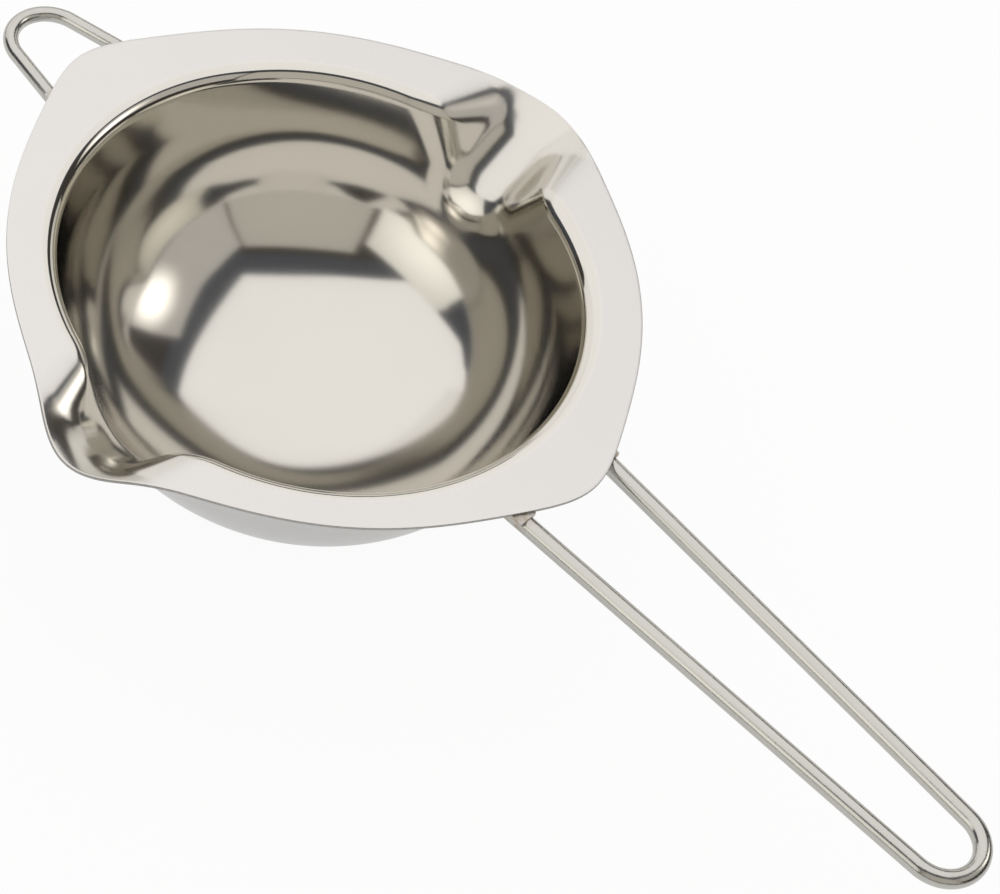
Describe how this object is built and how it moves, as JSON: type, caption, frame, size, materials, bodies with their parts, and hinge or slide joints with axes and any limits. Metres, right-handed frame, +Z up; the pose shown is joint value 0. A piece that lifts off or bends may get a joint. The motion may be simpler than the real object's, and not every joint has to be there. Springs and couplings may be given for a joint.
{
  "type": "melting pot",
  "caption": "Round steel insert pot with a wide pressed flange, two pouring spouts, a long hairpin wire handle and a short wire hanging loop.",
  "frame": {"origin": "centre of the underside of the bowl's base", "axes": "+Z up out of the bowl, +X towards the long handle, the two pouring spouts on +Y and -Y"},
  "size_m": [0.2797, 0.156, 0.0537],
  "materials": {
    "polished_steel": "mirror polished inside, fine satin on the flange",
    "wire_steel": "bright drawn",
    "weld_steel": "dull, heat tinted"
  },
  "bodies": {
    "root": {"bowl": "polished_steel", "handle_wire": "wire_steel", "hanging_loop": "wire_steel", "handle_welds": "weld_steel", "loop_welds": "weld_steel"}
  },
  "joints": []
}
